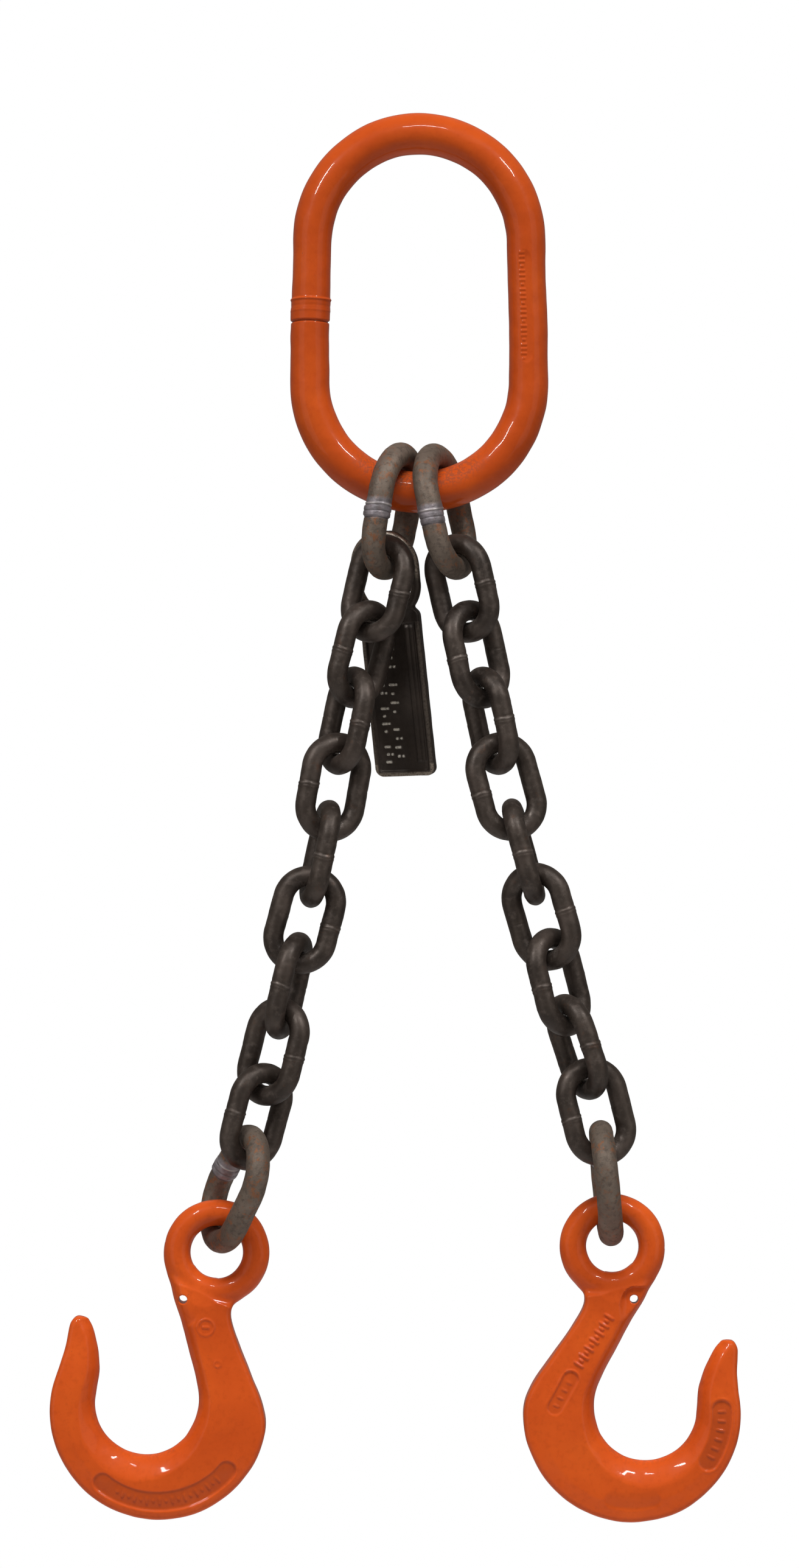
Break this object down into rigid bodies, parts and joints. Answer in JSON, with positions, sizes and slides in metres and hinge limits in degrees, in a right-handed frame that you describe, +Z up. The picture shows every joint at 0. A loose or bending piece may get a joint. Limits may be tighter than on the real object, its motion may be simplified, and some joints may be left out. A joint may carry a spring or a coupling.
{
  "type": "two-leg chain sling",
  "caption": "Chain sling with an oblong master link, two chain legs on coupling links, eye hooks at their ends and an identification tag.",
  "frame": {"origin": "inside top of the master link, where the crane hook bears", "axes": "+Z up along the hanging sling, +Y to the rear, through the thin way, +X to the right"},
  "size_m": [0.317, 0.0588, 0.6456],
  "materials": {
    "orange_paint": "glossy orange enamel over forged steel, with small chips and rubs",
    "chain_steel": "dark brown-black heat-treated scale with a dull sheen, brighter where it rubs",
    "coupling_steel": "grey-brown forged scale with a trace of rust and a blue-silver weld band",
    "tag_steel": "dark oiled steel, rubbed bright on the rim and the stamped marks"
  },
  "bodies": {
    "master_link": {"master_link": "orange_paint"},
    "left_coupling_top": {"left_coupling_top": "coupling_steel"},
    "left_link_1": {"left_link_1": "chain_steel"},
    "left_link_2": {"left_link_2": "chain_steel"},
    "left_link_3": {"left_link_3": "chain_steel"},
    "left_link_4": {"left_link_4": "chain_steel"},
    "left_link_5": {"left_link_5": "chain_steel"},
    "left_link_6": {"left_link_6": "chain_steel"},
    "left_link_7": {"left_link_7": "chain_steel"},
    "left_link_8": {"left_link_8": "chain_steel"},
    "left_link_9": {"left_link_9": "chain_steel"},
    "left_coupling_bottom": {"left_coupling_bottom": "coupling_steel"},
    "left_hook": {"left_hook": "orange_paint"},
    "right_coupling_top": {"right_coupling_top": "coupling_steel"},
    "right_link_1": {"right_link_1": "chain_steel"},
    "right_link_2": {"right_link_2": "chain_steel"},
    "right_link_3": {"right_link_3": "chain_steel"},
    "right_link_4": {"right_link_4": "chain_steel"},
    "right_link_5": {"right_link_5": "chain_steel"},
    "right_link_6": {"right_link_6": "chain_steel"},
    "right_link_7": {"right_link_7": "chain_steel"},
    "right_link_8": {"right_link_8": "chain_steel"},
    "right_link_9": {"right_link_9": "chain_steel"},
    "right_coupling_bottom": {"right_coupling_bottom": "coupling_steel"},
    "right_hook": {"right_hook": "orange_paint"},
    "tag": {"tag": "tag_steel"}
  },
  "joints": [
    {"name": "left_coupling_top_spread", "type": "hinge", "parent": "master_link", "child": "left_coupling_top", "pos_m": [0, 0, -0.1045], "axis": [0, 1, 0], "range_deg": [0, 45]},
    {"name": "left_link_1_swing", "type": "hinge", "parent": "left_coupling_top", "child": "left_link_1", "pos_m": [-0.01716, -0.00032, -0.19045], "axis": [-0.5163, -0.848, 0.1192], "range_deg": [-15, 30]},
    {"name": "left_link_2_swing", "type": "hinge", "parent": "left_link_1", "child": "left_link_2", "pos_m": [-0.02432, -0.00023, -0.22063], "axis": [-0.674, 0.7193, 0.1681], "range_deg": [-12, 60]},
    {"name": "left_link_3_swing", "type": "hinge", "parent": "left_link_2", "child": "left_link_3", "pos_m": [-0.03155, -0.00001, -0.25084], "axis": [0.8295, 0.5299, -0.1763], "range_deg": [-60, 60]},
    {"name": "left_link_4_swing", "type": "hinge", "parent": "left_link_3", "child": "left_link_4", "pos_m": [-0.03782, -0.0002, -0.28134], "axis": [0.4006, -0.9135, -0.0706], "range_deg": [-60, 60]},
    {"name": "left_link_5_swing", "type": "hinge", "parent": "left_link_4", "child": "left_link_5", "pos_m": [-0.04364, -0.00036, -0.31181], "axis": [-0.9633, -0.1736, 0.2048], "range_deg": [-60, 60]},
    {"name": "left_link_6_swing", "type": "hinge", "parent": "left_link_5", "child": "left_link_6", "pos_m": [-0.05023, -0.00026, -0.34217], "axis": [0.0337, 0.9994, -0.009], "range_deg": [-20, 60]},
    {"name": "left_link_7_swing", "type": "hinge", "parent": "left_link_6", "child": "left_link_7", "pos_m": [-0.05777, -0.00027, -0.37226], "axis": [0.9366, -0.2756, -0.2162], "range_deg": [-60, 60]},
    {"name": "left_link_8_swing", "type": "hinge", "parent": "left_link_7", "child": "left_link_8", "pos_m": [-0.06476, -0.00033, -0.40232], "axis": [0.5565, 0.8192, -0.1388], "range_deg": [-60, 60]},
    {"name": "left_link_9_swing", "type": "hinge", "parent": "left_link_8", "child": "left_link_9", "pos_m": [-0.07242, -0.00023, -0.4323], "axis": [0.5947, -0.788, -0.1593], "range_deg": [-60, 60]},
    {"name": "left_coupling_bottom_swing", "type": "hinge", "parent": "left_link_9", "child": "left_coupling_bottom", "pos_m": [-0.08113, -0.00002, -0.46671], "axis": [0.8969, 0.3907, -0.2071], "range_deg": [-60, 60]},
    {"name": "left_hook_swing", "type": "hinge", "parent": "left_coupling_bottom", "child": "left_hook", "pos_m": [-0.09288, 0.00781, -0.50283], "axis": [0, -1, 0], "range_deg": [-75, 75]},
    {"name": "right_coupling_top_spread", "type": "hinge", "parent": "master_link", "child": "right_coupling_top", "pos_m": [0, 0, -0.1045], "axis": [0, -1, 0], "range_deg": [0, 45]},
    {"name": "right_link_1_swing", "type": "hinge", "parent": "right_coupling_top", "child": "right_link_1", "pos_m": [0.01772, 0.00011, -0.19039], "axis": [0.4872, 0.866, 0.1125], "range_deg": [-60, 8]},
    {"name": "right_link_2_swing", "type": "hinge", "parent": "right_link_1", "child": "right_link_2", "pos_m": [0.02448, 0.0002, -0.22055], "axis": [-0.6545, 0.7431, -0.1391], "range_deg": [-60, 60]},
    {"name": "right_link_3_swing", "type": "hinge", "parent": "right_link_2", "child": "right_link_3", "pos_m": [0.03094, 0.0002, -0.25094], "axis": [0.8471, 0.5, 0.1801], "range_deg": [-60, 40]},
    {"name": "right_link_4_swing", "type": "hinge", "parent": "right_link_3", "child": "right_link_4", "pos_m": [0.03764, -0.00008, -0.28116], "axis": [0.2337, -0.9703, 0.0626], "range_deg": [-30, 60]},
    {"name": "right_link_5_swing", "type": "hinge", "parent": "right_link_4", "child": "right_link_5", "pos_m": [0.04564, -0.00008, -0.31102], "axis": [-0.9636, 0.0698, -0.2582], "range_deg": [-60, 60]},
    {"name": "right_link_6_swing", "type": "hinge", "parent": "right_link_5", "child": "right_link_6", "pos_m": [0.05366, -0.00006, -0.3408], "axis": [0.391, 0.9135, 0.1121], "range_deg": [-60, 60]},
    {"name": "right_link_7_swing", "type": "hinge", "parent": "right_link_6", "child": "right_link_7", "pos_m": [0.06176, 0.0001, -0.37062], "axis": [0.7211, -0.6691, 0.1798], "range_deg": [-60, 60]},
    {"name": "right_link_8_swing", "type": "hinge", "parent": "right_link_7", "child": "right_link_8", "pos_m": [0.06974, 0.00052, -0.40043], "axis": [0.8318, 0.4848, 0.2703], "range_deg": [-60, 60]},
    {"name": "right_link_9_swing", "type": "hinge", "parent": "right_link_8", "child": "right_link_9", "pos_m": [0.07898, 0.00089, -0.43003], "axis": [0.2511, -0.9659, 0.0626], "range_deg": [-50, 60]},
    {"name": "right_coupling_bottom_swing", "type": "hinge", "parent": "right_link_9", "child": "right_coupling_bottom", "pos_m": [0.08509, 0.00046, -0.46491], "axis": [0.9945, 0, 0.1045], "range_deg": [-60, 60]},
    {"name": "right_hook_swing", "type": "hinge", "parent": "right_coupling_bottom", "child": "right_hook", "pos_m": [0.08883, 0.01227, -0.50055], "axis": [0, 1, 0], "range_deg": [-75, 75]},
    {"name": "tag_swing", "type": "hinge", "parent": "left_coupling_top", "child": "tag", "pos_m": [-0.01571, 0.01157, -0.18787], "axis": [0.4055, 0.8951, 0.1852], "range_deg": [-8, 30]}
  ]
}
